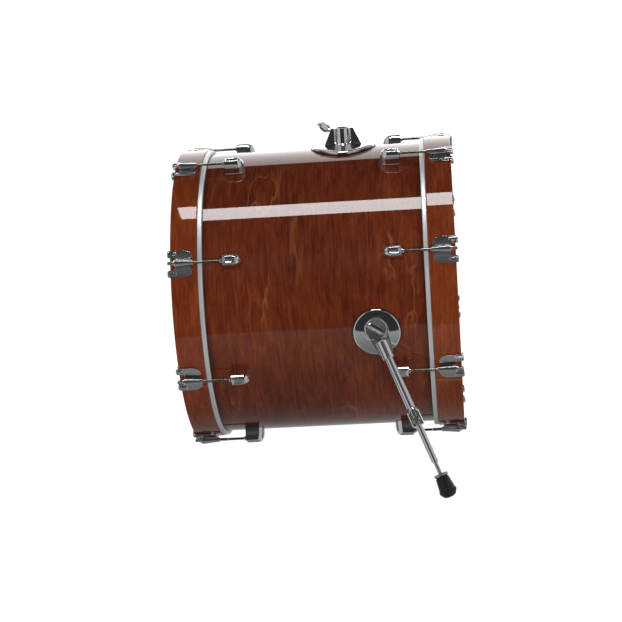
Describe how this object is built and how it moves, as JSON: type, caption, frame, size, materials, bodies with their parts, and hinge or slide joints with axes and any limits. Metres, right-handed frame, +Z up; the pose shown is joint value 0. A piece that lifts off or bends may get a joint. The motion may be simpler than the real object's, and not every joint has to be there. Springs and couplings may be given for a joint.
{
  "type": "bass drum",
  "caption": "Wooden bass drum with clamped hoops, a tom mount on top and two folding spurs that lift the front edge.",
  "frame": {"origin": "on the floor, at the middle of the drum's footprint box", "axes": "+X to the player's left, across the spurs; -Y to the front (resonant) head; +Z up. The drum's own axis is in the YZ plane, with its front end raised 3.9 degrees."},
  "size_m": [0.8554, 0.5818, 0.637],
  "materials": {
    "shell_lacquer": "reddish-brown stained maple under high-gloss lacquer",
    "hoop_lacquer": "the same stain, slightly more orange, high-gloss lacquer",
    "coated_film": "white coated polyester film",
    "flesh_hoop_aluminium": "satin",
    "chrome": "polished chrome plating",
    "lock_nut_zinc": "matte zinc plating",
    "rubber": "matte black rubber"
  },
  "bodies": {
    "drum": {"shell": "shell_lacquer", "batter_head": "coated_film", "resonant_head": "coated_film", "tom_mount_gasket": "rubber", "tom_mount_base": "chrome", "batter_lug_1": "chrome", "batter_lug_2": "chrome", "batter_lug_3": "chrome", "batter_lug_4": "chrome", "batter_lug_5": "chrome", "batter_lug_6": "chrome", "batter_lug_7": "chrome", "batter_lug_8": "chrome", "resonant_lug_1": "chrome", "resonant_lug_2": "chrome", "resonant_lug_3": "chrome", "resonant_lug_4": "chrome", "resonant_lug_5": "chrome", "resonant_lug_6": "chrome", "resonant_lug_7": "chrome", "resonant_lug_8": "chrome", "left_spur_gasket": "rubber", "left_spur_bracket": "chrome", "right_spur_gasket": "rubber", "right_spur_bracket": "chrome"},
    "batter_tension": {"batter_hoop": "hoop_lacquer", "batter_flesh_hoop": "flesh_hoop_aluminium", "batter_claw_1": "chrome", "batter_claw_2": "chrome", "batter_claw_3": "chrome", "batter_claw_4": "chrome", "batter_claw_5": "chrome", "batter_claw_6": "chrome", "batter_claw_7": "chrome", "batter_claw_8": "chrome"},
    "resonant_tension": {"resonant_hoop": "hoop_lacquer", "resonant_flesh_hoop": "flesh_hoop_aluminium", "resonant_claw_1": "chrome", "resonant_claw_2": "chrome", "resonant_claw_3": "chrome", "resonant_claw_4": "chrome", "resonant_claw_5": "chrome", "resonant_claw_6": "chrome", "resonant_claw_7": "chrome", "resonant_claw_8": "chrome"},
    "tom_wing_bolt": {"tom_mount_wing_bolt": "chrome"},
    "left_leg": {"left_spur_socket": "chrome", "left_spur_tube": "chrome"},
    "left_knob": {"left_spur_knob": "chrome"},
    "left_clamp_screw": {"left_spur_clamp_screw": "chrome"},
    "left_rod": {"left_spur_rod": "chrome"},
    "left_foot": {"left_spur_lock_nut": "lock_nut_zinc", "left_spur_foot": "rubber"},
    "right_leg": {"right_spur_socket": "chrome", "right_spur_tube": "chrome"},
    "right_knob": {"right_spur_knob": "chrome"},
    "right_clamp_screw": {"right_spur_clamp_screw": "chrome"},
    "right_rod": {"right_spur_rod": "chrome"},
    "right_foot": {"right_spur_lock_nut": "lock_nut_zinc", "right_spur_foot": "rubber"}
  },
  "joints": [
    {"name": "batter_tension_slide", "type": "slide", "parent": "drum", "child": "batter_tension", "axis": [0, 0.9977, -0.068], "range_m": [-0.004, 0.012]},
    {"name": "resonant_tension_slide", "type": "slide", "parent": "drum", "child": "resonant_tension", "axis": [0, -0.9977, 0.068], "range_m": [-0.004, 0.012]},
    {"name": "tom_wing_bolt_turn", "type": "hinge", "parent": "drum", "child": "tom_wing_bolt", "pos_m": [0, -0.03558, 0.60791], "axis": [0.3696, 0.8238, 0.4298], "continuous": true},
    {"name": "left_leg_swing", "type": "hinge", "parent": "drum", "child": "left_leg", "pos_m": [0.30674, -0.11387, 0.28862], "axis": [0.9379, 0.0236, 0.3461], "range_deg": [0, 109]},
    {"name": "left_knob_turn", "type": "hinge", "parent": "drum", "child": "left_knob", "pos_m": [0.30674, -0.11387, 0.28862], "axis": [0.9379, 0.0236, 0.3461], "continuous": true},
    {"name": "left_clamp_screw_turn", "type": "hinge", "parent": "left_leg", "child": "left_clamp_screw", "pos_m": [0.36626, -0.1912, 0.13263], "axis": [0.9379, 0.0236, 0.3461], "continuous": true},
    {"name": "left_rod_extend", "type": "slide", "parent": "left_leg", "child": "left_rod", "axis": [0.3235, -0.4203, -0.8478], "range_m": [-0.08, 0.02]},
    {"name": "left_foot_thread", "type": "slide", "parent": "left_rod", "child": "left_foot", "axis": [-0.3235, 0.4203, 0.8478], "range_m": [0, 0.013]},
    {"name": "right_leg_swing", "type": "hinge", "parent": "drum", "child": "right_leg", "pos_m": [-0.30674, -0.11387, 0.28862], "axis": [0.9379, -0.0236, -0.3461], "range_deg": [0, 109]},
    {"name": "right_knob_turn", "type": "hinge", "parent": "drum", "child": "right_knob", "pos_m": [-0.30674, -0.11387, 0.28862], "axis": [-0.9379, 0.0236, 0.3461], "continuous": true},
    {"name": "right_clamp_screw_turn", "type": "hinge", "parent": "right_leg", "child": "right_clamp_screw", "pos_m": [-0.36626, -0.1912, 0.13263], "axis": [-0.9379, 0.0236, 0.3461], "continuous": true},
    {"name": "right_rod_extend", "type": "slide", "parent": "right_leg", "child": "right_rod", "axis": [-0.3235, -0.4203, -0.8478], "range_m": [-0.08, 0.02]},
    {"name": "right_foot_thread", "type": "slide", "parent": "right_rod", "child": "right_foot", "axis": [0.3235, 0.4203, 0.8478], "range_m": [0, 0.013]}
  ]
}
